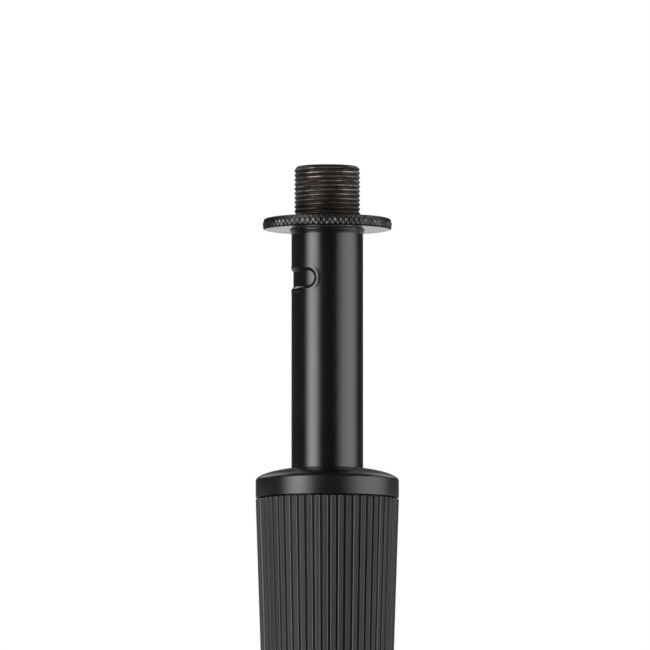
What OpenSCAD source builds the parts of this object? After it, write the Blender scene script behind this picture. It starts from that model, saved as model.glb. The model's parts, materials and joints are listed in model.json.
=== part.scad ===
// Tripod microphone stand: telescopic mast, twist clutch, folding leg base.
// The origin lies on the floor under the mast's axis, +Z points up, and all
// lengths are in millimetres. The legs stand open, the clutch and the collar
// clamp are tightened, and the mast is set low.

/* [Mast tubes] */
// Outer diameter of the upper tube
upper_tube_d = 17.3; // [15:0.1:20]
// Wall of the upper tube
upper_tube_wall = 1; // [0.8:0.1:1.6]
// Length of the upper tube
upper_tube_length = 800; // [600:1:850]
// Upper tube that shows above the grip, as the mast is set
tube_showing = 56.4; // [20:1:200]
// Wall of the lower tube
lower_tube_wall = 1.2; // [1:0.1:2]
// Height of the lower tube's top edge above the floor
lower_tube_top = 795; // [700:1:900]
// Wall of the guide bush between the tubes
guide_wall = 1.06; // [0.9:0.01:2]
// Length of the guide bush
guide_length = 20; // [12:1:40]
// Height of the pressed panel in the upper tube
panel_height = 5; // [3:0.1:8]
// Depth of the pressed panel
panel_depth = 0.35; // [0.2:0.05:0.5]
// Distance from the tube's top edge to the middle of the panel
panel_drop = 10.85; // [8:0.05:30]
// Angle that the panel takes up round the tube
panel_span = 145; // [60:1:180]

/* [Twist clutch] */
// Length of the whole grip
grip_length = 78.75; // [60:0.25:100]
// How far the grip reaches down past the lower tube's top edge
grip_overlap = 3; // [1:0.5:8]
// Growth of the grip's radius per millimetre of height
grip_taper = 0.033; // [0:0.001:0.06]
// Rise of the domed crown of the cap
crown_rise = 3; // [1.5:0.05:4]
// Height of the smooth band under the crown
band_height = 4.1; // [2:0.1:8]
// Depth of the clutch body's socket over the lower tube
socket_depth = 33; // [20:1:45]
// Wall of the clutch body where it carries its thread
clutch_wall = 1.2; // [1:0.1:2]
// Wall of the grip's core round the thread
core_wall = 1.2; // [1.1:0.05:2.5]
// Wall of the rubber sleeve, ribs included
sleeve_wall = 1.4; // [1.2:0.05:2.5]
// Number of ribs round the sleeve
rib_count = 56; // [40:1:60]
// Height of a rib over the sleeve's ground
rib_height = 0.7; // [0.3:0.05:1]
// Width of a rib
rib_width = 1.4; // [0.8:0.05:1.5]
// Length of the cone that closes the collet
seat_length = 38; // [25:1:42]
// Number of slits in the collet
slit_count = 4; // [2:1:6]
// Width of a slit
slit_width = 1.6; // [1:0.1:3]

/* [Top thread and lock ring] */
// Outer diameter of the five-eighths inch thread
thread_d = 15.875; // [15:0.005:16]
// Length of the full thread above the lock ring
thread_length = 11.8; // [8:0.1:16]
// Thickness of the flange that covers the tube's end
flange_thickness = 1.15; // [1:0.05:3]
// Depth of the stud's spigot in the tube
spigot_depth = 20; // [10:1:40]
// Outer diameter of the lock ring
ring_d = 31.2; // [25:0.1:40]
// Thickness of the lock ring
ring_thickness = 2.8; // [2:0.1:6]

/* [Leg base] */
// Length of a leg from its collar pivot to the middle of its foot
leg_length = 345; // [300:1:450]
// Distance from the hub pivot to the pivot on the leg
strut_length = 125; // [110:1:130]
// Angle of the open legs from the vertical
open_angle = 62; // [55:0.5:66]
// Outer diameter of a leg
leg_tube_d = 16; // [14:0.1:18]
// Wall of a leg
leg_tube_wall = 1.2; // [1:0.1:2]
// Thickness of the strut's sheet metal
strut_sheet = 2; // [1.5:0.1:3]
// Depth of the strut's channel
strut_depth = 14; // [12:0.5:16]
// Radius of the clevis ears and of the leg's lug
ear_r = 8; // [7:0.5:9]
// Thickness of the leg's lug
lug_thickness = 10; // [8:0.5:11]
// Thickness of a clevis ear
ear_thickness = 4; // [3:0.5:5]
// Radius of the rivets
rivet_r = 3; // [2.5:0.1:3.5]
// Length of the rubber foot over the tube
foot_length = 42; // [35:1:60]
// Rubber round the leg at the foot's toe
foot_wall = 3; // [2.5:0.1:4]

/* [Hub, collar and clamp] */
// Wall of the hub round the lower tube
hub_wall = 6.9; // [5:0.1:10]
// Height of the hub
hub_height = 32; // [30:1:45]
// Thickness of the hub's floor under the tube
hub_floor = 8; // [7:0.5:12]
// Wall of the collar round the lower tube
collar_wall = 5.8; // [5:0.1:9]
// Length of the collar above its pivots
collar_above = 26; // [24:1:40]
// Length of the collar below its pivots
collar_below = 16; // [10:1:24]
// Diameter of the clamp screw
clamp_screw_d = 6; // [5:0.5:8]
// Diameter of the clamp knob
knob_d = 30; // [24:1:34]
// Length of the clamp knob
knob_length = 16; // [12:1:24]
// Number of hollows round the knob
knob_flutes = 7; // [5:1:9]

/* [Fits] */
// Radial play of a tube or a rivet that turns in its hole
turn_play = 0.05; // [0.03:0.01:0.1]
// Radial play of the guide bush and of the collar on the lower tube
slide_play = 0.04; // [0.03:0.01:0.1]
// Gap on each side between faces that swing past each other
side_gap = 0.3; // [0.2:0.05:0.6]
// Radial gap where the upper tube passes through a plain hole
pass_gap = 0.4; // [0.3:0.05:0.8]
// Gap between faces that rest on each other across a joint
rest_gap = 0.05; // [0.02:0.01:0.1]

/* [Hidden] */
$fn = 72;
cut = 1;

// Radii of the nested tubes, from the inside out
upper_r = upper_tube_d / 2;
upper_bore_r = upper_r - upper_tube_wall;
guide_bore_r = upper_r + turn_play;
guide_r = guide_bore_r + guide_wall;
lower_bore_r = guide_r + slide_play;
lower_r = lower_bore_r + lower_tube_wall;
pass_r = upper_r + pass_gap;
bead_r = upper_r + pass_gap / 2;

// Heights of the clutch and of the grip
grip_bottom = lower_tube_top - grip_overlap;
grip_top = grip_bottom + grip_length;
band_top = grip_top - crown_rise;
band_bottom = band_top - band_height;
shoulder_height = 3;
seat_bottom = lower_tube_top + shoulder_height;
seat_top = seat_bottom + seat_length;
clutch_top = seat_top + 2;
clutch_bottom = lower_tube_top - socket_depth;

// Radii of the clutch and of the grip, built up over the lower tube
clutch_r = lower_r + clutch_wall;
seat_wall = 1.4;
seat_bottom_r = pass_r + 0.35;
seat_top_r = clutch_r - seat_wall;
skirt_r = clutch_r + 2;
core_bore_r = clutch_r + 0.1;
core_bottom_r = core_bore_r + core_wall;
grip_bottom_r = core_bottom_r + sleeve_wall;
grip_r = grip_bottom_r + grip_taper * (band_bottom - grip_bottom);
lip_height = 2.5;
sleeve_bottom = grip_bottom + lip_height;
sleeve_top = band_bottom - 0.2;

// The collet stands a little proud of the clutch body's rim
collet_bore_r = upper_r + turn_play;
collet_bottom = seat_bottom + 3;
collet_head = clutch_top + 1;
collet_top = collet_head + 7;
washer_thickness = 1.2;
ceiling = collet_top + washer_thickness + rest_gap;

// Heights along the upper tube
tube_top = grip_top + tube_showing;
tube_bottom = tube_top - upper_tube_length;
guide_bottom = tube_bottom + 0.1;
guide_top = guide_bottom + guide_length;
bead_height = 1.4;
plug_flange = 2.5;
panel_right = -106.5;

// Top stud and lock ring
thread_r = thread_d / 2;
relief_r = thread_r - 0.85;
relief_height = 0.6;
thread_chamfer = 0.7;
flange_r = upper_r + 0.4;
flange_top = tube_top + flange_thickness;
ring_r = ring_d / 2;
ring_bore_r = thread_r + turn_play;
ring_bottom = flange_top + rest_gap;
ring_top = ring_bottom + ring_thickness;
thread_start = ring_top + rest_gap;
thread_top = thread_start + thread_length;

// Pivots of the leg base: the collar, the hub and the leg pivots of one leg
// form an isosceles triangle in the leg's upright plane
leg_count = 3;
leg_tilt = 90 - open_angle;
collar_bore_r = lower_r + 2 * slide_play;
collar_r = collar_bore_r + collar_wall;
hub_r = lower_r + hub_wall;
pivot_gap = 2;
pivot_r = max(collar_r, hub_r) + ear_r + pivot_gap;
foot_r = leg_tube_d / 2 + foot_wall;
foot_centre_height = foot_r - 4;
collar_z = leg_length * cos(open_angle) + foot_centre_height;
hub_z = collar_z - 2 * strut_length * cos(open_angle);

// Leg, strut and rivet sizes that follow from one another
leg_r = leg_tube_d / 2;
leg_bore_r = leg_r - leg_tube_wall;
leg_shoulder = ear_r + 3;
leg_tube_start = leg_shoulder + 4;
leg_tube_end = leg_length - 12;
strut_gap = leg_tube_d + 2 * (side_gap + 0.1);
strut_width = strut_gap + 2 * strut_sheet;
strut_end_r = strut_depth / 2;
hub_lug_width = strut_gap - 2 * side_gap;
ear_gap = lug_thickness + 2 * side_gap;
clevis_width = ear_gap + 2 * ear_thickness;
rivet_hole_r = rivet_r + turn_play;
rivet_head_r = rivet_r + 2;
rivet_head_height = 1.6;

// Hub heights
hub_bottom = hub_z - 18;
hub_seat = hub_bottom + hub_floor;
hub_top = hub_bottom + hub_height;
screw_head_r = 5.5;
screw_head_height = 3.6;
plug_height = 18;

// Clamp on the collar, on the side between two legs
clamp_azimuth = 90;
clamp_z = collar_z + 14;
boss_r = 8;
boss_end = collar_r + 10;
clamp_r = clamp_screw_d / 2;
nut_flats = clamp_screw_d * 10 / 6;
nut_thickness = 5;
nut_start = collar_r + 2.2;
shoe_width = 9.4;
shoe_height = 11.4;
shoe_back = lower_r + 3.6;
shoe_pocket_back = shoe_back + 1.4;
knob_start = boss_end + 2;
knob_r = knob_d / 2;

// Outer radius of the grip at height z
function grip_r_at(z) = grip_bottom_r + grip_taper * (z - grip_bottom);

// Height of the crown at radius r: full beside the tube, nothing at the edge
function crown_share(r) = pow(1 - pow(r / grip_r, 2), 0.52);
function crown_z(r) = band_top + crown_rise * crown_share(r) / crown_share(pass_r);

// Azimuth of leg number i, with the first leg towards -Y
function leg_azimuth(i) = -90 + (i - 1) * 360 / leg_count;

// Tube along +Z from z0 to z1
module tube_z(z0, z1, outer, inner) {
    translate([0, 0, z0])
        difference() {
            cylinder(h = z1 - z0, r = outer);
            translate([0, 0, -cut]) cylinder(h = z1 - z0 + 2 * cut, r = inner);
        }
}

// Cylinder along +X from x0 to x1
module bar_x(x0, x1, r) {
    translate([x0, 0, 0]) rotate([0, 90, 0]) cylinder(h = x1 - x0, r = r);
}

// Cylinder along Y, centred on the XZ plane
module pin_y(length, r) {
    rotate([90, 0, 0]) cylinder(h = length, r = r, center = true);
}

// Puts a piece drawn along +X onto leg i, its collar pivot at the origin
module on_leg(i) {
    rotate([0, 0, leg_azimuth(i)])
        translate([pivot_r, 0, collar_z])
            rotate([0, leg_tilt, 0])
                children();
}

// Puts a piece drawn along +X onto strut i, its hub pivot at the origin
module on_strut(i) {
    rotate([0, 0, leg_azimuth(i)])
        translate([pivot_r, 0, hub_z])
            rotate([0, -leg_tilt, 0])
                children();
}

// Puts a piece drawn along +X onto the clamp screw's axis
module on_clamp() {
    rotate([0, 0, clamp_azimuth]) translate([0, 0, clamp_z]) children();
}

// Rivet across a joint of the given width, with a domed head at each end
module rivet(width) {
    pin_y(width, rivet_r);
    for (side = [-1, 1])
        rotate([side * -90, 0, 0])
            translate([0, 0, width / 2])
                rivet_head();
}

module rivet_head() {
    dome_r = (rivet_head_r * rivet_head_r + rivet_head_height * rivet_head_height)
        / (2 * rivet_head_height);
    intersection() {
        translate([0, 0, rivet_head_height - dome_r]) sphere(r = dome_r);
        cylinder(h = rivet_head_height, r = rivet_head_r + cut);
    }
}

module lower_tube() {
    color([0.09, 0.09, 0.095])
        tube_z(hub_seat, lower_tube_top, lower_r, lower_bore_r);
}

// Threaded plug that lets the hub screw pull the tube down onto the hub
module lower_tube_plug() {
    color([0.75, 0.75, 0.76])
        tube_z(hub_seat, hub_seat + plug_height, lower_bore_r, rivet_r);
}

module hub() {
    color([0.08, 0.08, 0.085])
        difference() {
            union() {
                rotate_extrude() hub_outline();
                for (i = [1:leg_count]) hub_lug(i);
            }
            translate([0, 0, hub_seat]) cylinder(h = hub_height + cut, r = lower_r);
            translate([0, 0, hub_bottom - cut])
                cylinder(h = hub_floor + 2 * cut, r = rivet_r + 0.2);
            translate([0, 0, hub_bottom - cut])
                cylinder(h = screw_head_height + 0.6 + cut, r = screw_head_r + 0.5);
            for (i = [1:leg_count]) hub_cross_bore(i);
        }
}

// Half section of the hub's barrel: bevelled foot, waist and neck
module hub_outline() {
    polygon([
        [0, hub_bottom], [hub_r - 5, hub_bottom], [hub_r - 1.2, hub_bottom + 2.4],
        [hub_r, hub_bottom + 5.5], [hub_r, hub_top - 7], [hub_r - 0.9, hub_top - 5],
        [lower_r + 2.6, hub_top - 1.2], [lower_r + 1.8, hub_top], [0, hub_top]
    ]);
}

module hub_lug(i) {
    rotate([0, 0, leg_azimuth(i)])
        translate([pivot_r, 0, hub_z]) {
            pin_y(hub_lug_width, strut_end_r);
            translate([-pivot_r + lower_r, -hub_lug_width / 2, -strut_end_r])
                cube([pivot_r - lower_r, hub_lug_width, 2 * strut_end_r]);
        }
}

module hub_cross_bore(i) {
    rotate([0, 0, leg_azimuth(i)])
        translate([pivot_r, 0, hub_z])
            pin_y(hub_lug_width + 2 * cut, rivet_r);
}

module hub_screw() {
    color([0.55, 0.55, 0.56])
        translate([0, 0, hub_bottom + 0.6])
            difference() {
                union() {
                    cylinder(h = screw_head_height, r = screw_head_r);
                    cylinder(h = hub_floor + plug_height - 4, r = rivet_r);
                }
                translate([0, 0, -cut]) cylinder(h = cut + 2.4, r = 2.9, $fn = 6);
            }
}

module hub_rivet(i) {
    color([0.5, 0.5, 0.51])
        rotate([0, 0, leg_azimuth(i)])
            translate([pivot_r, 0, hub_z])
                rivet(strut_width + side_gap);
}

// Clutch body: skirt over the lower tube, thread for the grip, cone for the collet
module clutch_body() {
    color([0.1, 0.1, 0.105])
        rotate_extrude()
            polygon([
                [lower_r, clutch_bottom], [clutch_r + 0.3, clutch_bottom],
                [skirt_r - 0.7, clutch_bottom + 5], [skirt_r - 0.3, clutch_bottom + 8],
                [skirt_r, grip_bottom - 1.4], [skirt_r - 0.6, grip_bottom - 0.8],
                [clutch_r, grip_bottom - 0.8], [clutch_r, clutch_top - 0.6],
                [clutch_r - 0.5, clutch_top], [seat_top_r, clutch_top],
                [seat_top_r, seat_top], [seat_bottom_r, seat_bottom],
                [pass_r, seat_bottom], [pass_r, lower_tube_top],
                [lower_r, lower_tube_top]
            ]);
}

// Radius of the clutch body's cone at height z
function seat_r_at(z) =
    seat_bottom_r + (seat_top_r - seat_bottom_r) * (z - seat_bottom) / seat_length;

// Split collet: its cone lies in the clutch body, its head stands above the rim
module collet() {
    color([0.82, 0.82, 0.8])
        difference() {
            rotate_extrude()
                polygon([
                    [collet_bore_r, collet_bottom],
                    [seat_r_at(collet_bottom) - rest_gap, collet_bottom],
                    [seat_top_r - rest_gap, seat_top],
                    [seat_top_r - rest_gap, collet_head],
                    [clutch_r - 1, collet_head], [clutch_r - 1, collet_top],
                    [collet_bore_r, collet_top]
                ]);
            for (k = [0:slit_count - 1])
                rotate([0, 0, k * 360 / slit_count])
                    translate([0, -slit_width / 2, collet_bottom - cut])
                        cube([clutch_r, slit_width, seat_length - 6 + cut]);
        }
}

module thrust_washer() {
    color([0.7, 0.7, 0.71])
        tube_z(collet_top, collet_top + washer_thickness, clutch_r - 0.5, pass_r);
}

// Stiff core of the grip, with the ceiling that presses the collet down
module grip_core() {
    core_top = band_bottom;
    spigot_r = grip_r - sleeve_wall - 1;
    color([0.12, 0.12, 0.125])
        rotate_extrude()
            polygon([
                [core_bore_r, grip_bottom], [grip_bottom_r - 0.8, grip_bottom],
                [grip_bottom_r - 0.1, grip_bottom + 0.7],
                [grip_bottom_r, sleeve_bottom - 0.1], [core_bottom_r, sleeve_bottom - 0.1],
                [grip_r - sleeve_wall, core_top], [spigot_r, core_top],
                [spigot_r, band_top], [pass_r, band_top], [pass_r, ceiling],
                [core_bore_r, ceiling]
            ]);
}

// Rubber sleeve: upright ribs with rounded upper ends round a plain ground
module grip_sleeve() {
    color([0.27, 0.27, 0.28])
        difference() {
            union() {
                sleeve_cone(-rib_height, sleeve_bottom, sleeve_top);
                intersection() {
                    sleeve_cone(0, sleeve_bottom, sleeve_top);
                    for (k = [0:rib_count - 1])
                        rotate([0, 0, k * 360 / rib_count]) rib_blank();
                }
            }
            core_cone();
        }
}

// Cone along the sleeve, grown or shrunk by offset_r
module sleeve_cone(offset_r, z0, z1) {
    translate([0, 0, z0])
        cylinder(h = z1 - z0, r1 = grip_r_at(z0) + offset_r, r2 = grip_r_at(z1) + offset_r);
}

// The grip core's outside, run on past both ends of the sleeve
module core_cone() {
    translate([0, 0, sleeve_bottom - cut])
        cylinder(
            h = sleeve_top - sleeve_bottom + 2 * cut,
            r1 = grip_r_at(sleeve_bottom - cut) - sleeve_wall,
            r2 = grip_r_at(sleeve_top + cut) - sleeve_wall
        );
}

// One rib, cut from a radial blank that is round at its upper end
module rib_blank() {
    rib_top = sleeve_top - 0.1;
    rib_root = grip_bottom_r - rib_height - 0.3;
    translate([rib_root, 0, 0])
        rotate([90, 0, 90])
            linear_extrude(height = grip_r + cut - rib_root) {
                translate([-rib_width / 2, sleeve_bottom])
                    square([rib_width, rib_top - rib_width / 2 - sleeve_bottom]);
                translate([0, rib_top - rib_width / 2]) circle(d = rib_width, $fn = 24);
            }
}

// Smooth cap: band and domed crown with the hole for the upper tube
module grip_cap() {
    spigot_r = grip_r - sleeve_wall - 1;
    crown_steps = 10;
    color([0.1, 0.1, 0.105])
        difference() {
            rotate_extrude()
                polygon(concat(
                    [[pass_r, band_bottom], [grip_r - 0.3, band_bottom],
                     [grip_r, band_bottom + 0.3]],
                    [for (k = [0:crown_steps])
                        let (r = pass_r + (grip_r - pass_r) * cos(90 * k / crown_steps))
                        [r, crown_z(r)]]
                ));
            translate([0, 0, band_bottom - cut])
                cylinder(h = band_top - band_bottom + cut, r = spigot_r);
        }
}

// Guide bush that centres the upper tube's foot in the lower tube
module tube_guide() {
    color([0.85, 0.85, 0.83])
        difference() {
            tube_z(guide_bottom, guide_top, guide_r, guide_bore_r);
            for (z = [guide_bottom + 0.3 * guide_length, guide_bottom + 0.7 * guide_length])
                tube_z(z - 1, z + 1, guide_r + cut, guide_r - 0.4);
        }
}

// Upper tube, with the bead over the guide bush and the pressed panel
module upper_tube() {
    color([0.1, 0.1, 0.105])
        difference() {
            union() {
                tube_z(tube_bottom, tube_top, upper_r, upper_bore_r);
                translate([0, 0, guide_top + 0.1])
                    rotate_extrude()
                        polygon([
                            [upper_r - 0.5, 0], [bead_r, 0.3], [bead_r, bead_height - 0.3],
                            [upper_r - 0.5, bead_height]
                        ]);
            }
            pressed_panel();
        }
}

// Shallow round-ended panel that runs part of the way round the tube. Its straight
// part is a hair lower than its round ends, so that no faces merely touch.
module pressed_panel() {
    end_angle = asin(panel_height / 2 / upper_r);
    right_end = panel_right - end_angle;
    left_end = panel_right - panel_span + end_angle;
    reach = 3 * upper_r;
    translate([0, 0, tube_top - panel_drop]) {
        intersection() {
            panel_skin();
            linear_extrude(height = panel_height - 0.02, center = true)
                polygon(concat(
                    [[0, 0]],
                    [for (azimuth = [right_end, (right_end + left_end) / 2, left_end])
                        reach * [cos(azimuth), sin(azimuth)]]
                ));
        }
        for (azimuth = [right_end, left_end])
            intersection() {
                panel_skin();
                rotate([0, 0, azimuth]) bar_x(0, upper_r + cut, panel_height / 2);
            }
    }
}

// Layer of the tube's wall that the panel takes away
module panel_skin() {
    tube_z(-panel_height, panel_height, upper_r + cut, upper_r - panel_depth);
}

// Plug whose flange keeps the guide bush on the tube
module tube_end_plug() {
    color([0.16, 0.16, 0.165]) {
        translate([0, 0, tube_bottom - plug_flange])
            cylinder(h = plug_flange, r = bead_r + 0.3);
        translate([0, 0, tube_bottom]) cylinder(h = 12, r = upper_bore_r);
    }
}

// Threaded stud: spigot in the tube, flange, relief, run-out and full thread
module thread_stud() {
    color([0.32, 0.28, 0.25])
        rotate_extrude()
            polygon([
                [0, tube_top - spigot_depth], [upper_bore_r - 0.5, tube_top - spigot_depth],
                [upper_bore_r, tube_top - spigot_depth + 1], [upper_bore_r, tube_top],
                [flange_r - 0.25, tube_top], [flange_r, tube_top + 0.3],
                [flange_r, flange_top - 0.15], [flange_r - 0.15, flange_top],
                [relief_r, flange_top], [relief_r, flange_top + relief_height],
                [thread_r, thread_start], [thread_r, thread_top],
                [thread_r - thread_chamfer, thread_top + thread_chamfer],
                [0, thread_top + thread_chamfer]
            ]);
}

// Lock ring, worn rounder at its upper edge
module lock_ring() {
    low_edge = 0.4;
    round_r = 0.8;
    color([0.28, 0.28, 0.29])
        translate([0, 0, ring_bottom])
            rotate_extrude()
                polygon(concat(
                    [[ring_bore_r, 0], [ring_r - low_edge, 0], [ring_r, low_edge]],
                    [for (turn = [0:22.5:90])
                        [ring_r - round_r + round_r * cos(turn),
                         ring_thickness - round_r + round_r * sin(turn)]],
                    [[ring_bore_r, ring_thickness]]
                ));
}

// Strut: a sheet channel folded over its upper side, open towards the leg
module strut(i) {
    hub_relief = strut_end_r + 5;
    leg_relief = leg_r + 16;
    color([0.09, 0.09, 0.095])
        on_strut(i)
            difference() {
                intersection() {
                    strut_channel();
                    strut_side();
                }
                translate([-strut_depth, -strut_gap / 2, 0])
                    cube([strut_depth + hub_relief, strut_gap, strut_depth]);
                translate([strut_length - leg_relief, -strut_gap / 2, 0])
                    cube([leg_relief + strut_depth, strut_gap, strut_depth]);
                pin_y(strut_width + 2 * cut, rivet_hole_r);
                translate([strut_length, 0, 0]) pin_y(strut_width + 2 * cut, rivet_r);
            }
}

// The folded section, run along the whole strut
module strut_channel() {
    fold_r = strut_sheet;
    translate([-strut_depth, 0, 0])
        rotate([90, 0, 90])
            linear_extrude(height = strut_length + 2 * strut_depth)
                difference() {
                    union() {
                        translate([-strut_width / 2, -strut_end_r])
                            square([strut_width, strut_depth - fold_r]);
                        translate([-strut_width / 2 + fold_r, -strut_end_r])
                            square([strut_width - 2 * fold_r, strut_depth]);
                        for (side = [-1, 1])
                            translate([side * (strut_width / 2 - fold_r), strut_end_r - fold_r])
                                circle(r = fold_r, $fn = 32);
                    }
                    translate([-strut_gap / 2, -strut_end_r - cut])
                        square([strut_gap, strut_depth - strut_sheet + cut]);
                }
}

// The side outline, with a round end at each pivot
module strut_side() {
    pin_y(strut_width + 2 * cut, strut_end_r);
    translate([strut_length, 0, 0]) pin_y(strut_width + 2 * cut, strut_end_r);
    translate([0, -strut_width / 2 - cut, -strut_end_r])
        cube([strut_length, strut_width + 2 * cut, strut_depth]);
}

module strut_rivet(i) {
    color([0.5, 0.5, 0.51])
        on_strut(i) translate([strut_length, 0, 0]) rivet(strut_width);
}

module leg_tube(i) {
    color([0.09, 0.09, 0.095])
        on_leg(i)
            difference() {
                bar_x(leg_tube_start, leg_tube_end, leg_r);
                bar_x(leg_tube_start - cut, leg_tube_end + cut, leg_bore_r);
                translate([strut_length, 0, 0]) pin_y(leg_tube_d + 2 * cut, rivet_hole_r);
            }
}

// Leg head: lug between the collar's ears, shoulder, and spigot in the leg
module leg_head(i) {
    color([0.08, 0.08, 0.085])
        on_leg(i)
            difference() {
                union() {
                    rotate([90, 0, 0])
                        linear_extrude(height = lug_thickness, center = true) lug_outline();
                    bar_x(leg_shoulder, leg_tube_start, leg_r);
                    bar_x(leg_tube_start - cut, leg_tube_start + 22, leg_bore_r);
                }
                pin_y(lug_thickness + 2 * cut, rivet_hole_r);
            }
}

// Side outline of the lug, with the heel that meets the collar when the leg is open
module lug_outline() {
    neck = sqrt(leg_r * leg_r - lug_thickness * lug_thickness / 4) - 0.1;
    heel_reach = pivot_r - collar_r - side_gap;
    circle(r = ear_r);
    translate([0, -neck]) square([leg_shoulder + 1, 2 * neck]);
    rotate(leg_tilt) translate([-heel_reach, 0]) square([heel_reach, ear_r - 1]);
}

// Rubber foot over the leg's end, worn flat where it stands on the floor
module foot(i) {
    color([0.13, 0.13, 0.135])
        difference() {
            on_leg(i)
                difference() {
                    union() {
                        rotate([0, 90, 0]) rotate_extrude() foot_outline();
                        translate([leg_length, 0, 0]) sphere(r = foot_r);
                    }
                    bar_x(leg_length - foot_length - cut, leg_tube_end, leg_r);
                }
            translate([0, 0, -100]) cube([4 * leg_length, 4 * leg_length, 200], center = true);
        }
}

// Half section of the foot along the leg: mouth bead, grooves and toe
module foot_outline() {
    mouth = leg_length - foot_length;
    polygon([
        [0, mouth], [foot_r - 0.9, mouth], [foot_r - 0.4, mouth + 0.6],
        [foot_r - 0.4, mouth + 3], [foot_r - 1.2, mouth + 4],
        [foot_r - 0.9, mouth + 14], [foot_r - 1.5, mouth + 14.6],
        [foot_r - 1.5, mouth + 16], [foot_r - 0.9, mouth + 16.6],
        [foot_r - 0.8, mouth + 19], [foot_r - 1.4, mouth + 19.6],
        [foot_r - 1.4, mouth + 21], [foot_r - 0.7, mouth + 21.6],
        [foot_r, leg_length - 10], [foot_r, leg_length], [0, leg_length]
    ]);
}

// Collar that slides on the lower tube and carries the leg heads and the clamp
module collar() {
    color([0.08, 0.08, 0.085])
        difference() {
            union() {
                rotate_extrude() collar_outline();
                for (i = [1:leg_count]) collar_clevis(i);
                on_clamp() bar_x(collar_bore_r, boss_end, boss_r);
            }
            translate([0, 0, collar_z - collar_below - cut])
                cylinder(h = collar_above + collar_below + 2 * cut, r = collar_bore_r);
            for (i = [1:leg_count]) collar_cross_bore(i);
            on_clamp() clamp_pockets();
        }
}

// Half section of the collar's barrel, with a rolled edge at each end
module collar_outline() {
    low = collar_z - collar_below;
    high = collar_z + collar_above;
    polygon([
        [0, low], [collar_r - 1.6, low], [collar_r - 0.5, low + 0.5],
        [collar_r, low + 1.6], [collar_r, high - 3], [collar_r - 0.8, high - 1.2],
        [collar_r - 2.6, high], [0, high]
    ]);
}

// One pair of ears, gusseted on their upper side
module collar_clevis(i) {
    rotate([0, 0, leg_azimuth(i)])
        translate([0, 0, collar_z])
            for (side = [-1, 1])
                translate([0, side * (ear_gap + ear_thickness) / 2, 0])
                    rotate([90, 0, 0])
                        linear_extrude(height = ear_thickness, center = true) {
                            translate([pivot_r, 0]) circle(r = ear_r);
                            polygon([
                                [collar_bore_r + 1, -ear_r], [pivot_r, -ear_r],
                                [pivot_r, ear_r], [collar_r, collar_above - 6],
                                [collar_bore_r + 1, collar_above - 6]
                            ]);
                        }
}

module collar_cross_bore(i) {
    rotate([0, 0, leg_azimuth(i)])
        translate([pivot_r, 0, collar_z])
            pin_y(clevis_width + 2 * cut, rivet_r);
}

// Pocket for the brake shoe, slot for the nut and hole for the screw
module clamp_pockets() {
    pocket_width = shoe_width + 2 * side_gap;
    pocket_height = shoe_height + 2 * side_gap;
    slot_width = nut_flats + 0.2;
    slot_floor = nut_flats / 2 / cos(30) + 0.1;
    translate([0, -pocket_width / 2, -pocket_height / 2])
        cube([shoe_pocket_back, pocket_width, pocket_height]);
    translate([nut_start, -slot_width / 2, -slot_floor])
        cube([nut_thickness + 0.2, slot_width, slot_floor + boss_r + cut]);
    bar_x(lower_r, boss_end + cut, clamp_r + 0.3);
}

module collar_rivet(i) {
    color([0.5, 0.5, 0.51])
        rotate([0, 0, leg_azimuth(i)])
            translate([pivot_r, 0, collar_z])
                rivet(clevis_width);
}

module clamp_nut() {
    color([0.6, 0.6, 0.61])
        on_clamp()
            translate([nut_start + 0.1, 0, 0])
                rotate([0, 90, 0])
                    difference() {
                        cylinder(h = nut_thickness, d = nut_flats / cos(30), $fn = 6);
                        translate([0, 0, -cut])
                            cylinder(h = nut_thickness + 2 * cut, r = clamp_r + turn_play);
                    }
}

// Brake shoe: hollow face towards the tube, blind seat for the screw's tip
module brake_shoe() {
    color([0.78, 0.78, 0.76])
        on_clamp()
            difference() {
                translate([0, -shoe_width / 2, -shoe_height / 2])
                    cube([shoe_back, shoe_width, shoe_height]);
                cylinder(h = 2 * shoe_height, r = lower_r + rest_gap, center = true);
                bar_x(shoe_back - 1.4, shoe_back + cut, clamp_r + turn_play);
            }
}

module clamp_screw() {
    color([0.6, 0.6, 0.61])
        on_clamp() bar_x(shoe_back - 1.3, knob_start + knob_length - 4, clamp_r);
}

// Clamp knob: hollows for the fingers round a domed body with a short neck
module clamp_knob() {
    flute_r = knob_r * 0.36;
    flute_ring = knob_r + flute_r * 0.45;
    color([0.08, 0.08, 0.085])
        on_clamp()
            translate([knob_start, 0, 0])
                rotate([0, 90, 0])
                    difference() {
                        rotate_extrude() knob_outline();
                        for (k = [0:knob_flutes - 1])
                            rotate([0, 0, k * 360 / knob_flutes])
                                translate([flute_ring, 0, 3])
                                    cylinder(h = knob_length, r = flute_r);
                        translate([0, 0, -cut])
                            cylinder(h = knob_length - 4 + cut, r = clamp_r);
                    }
}

module knob_outline() {
    neck_r = boss_r - 0.5;
    polygon([
        [0, 0], [neck_r - 0.6, 0], [neck_r, 0.6], [neck_r, 3], [knob_r - 2, 4.5],
        [knob_r, 6.5], [knob_r, knob_length - 4], [knob_r - 1, knob_length - 2],
        [knob_r - 3.5, knob_length - 0.6], [knob_r - 7, knob_length], [0, knob_length]
    ]);
}

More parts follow.
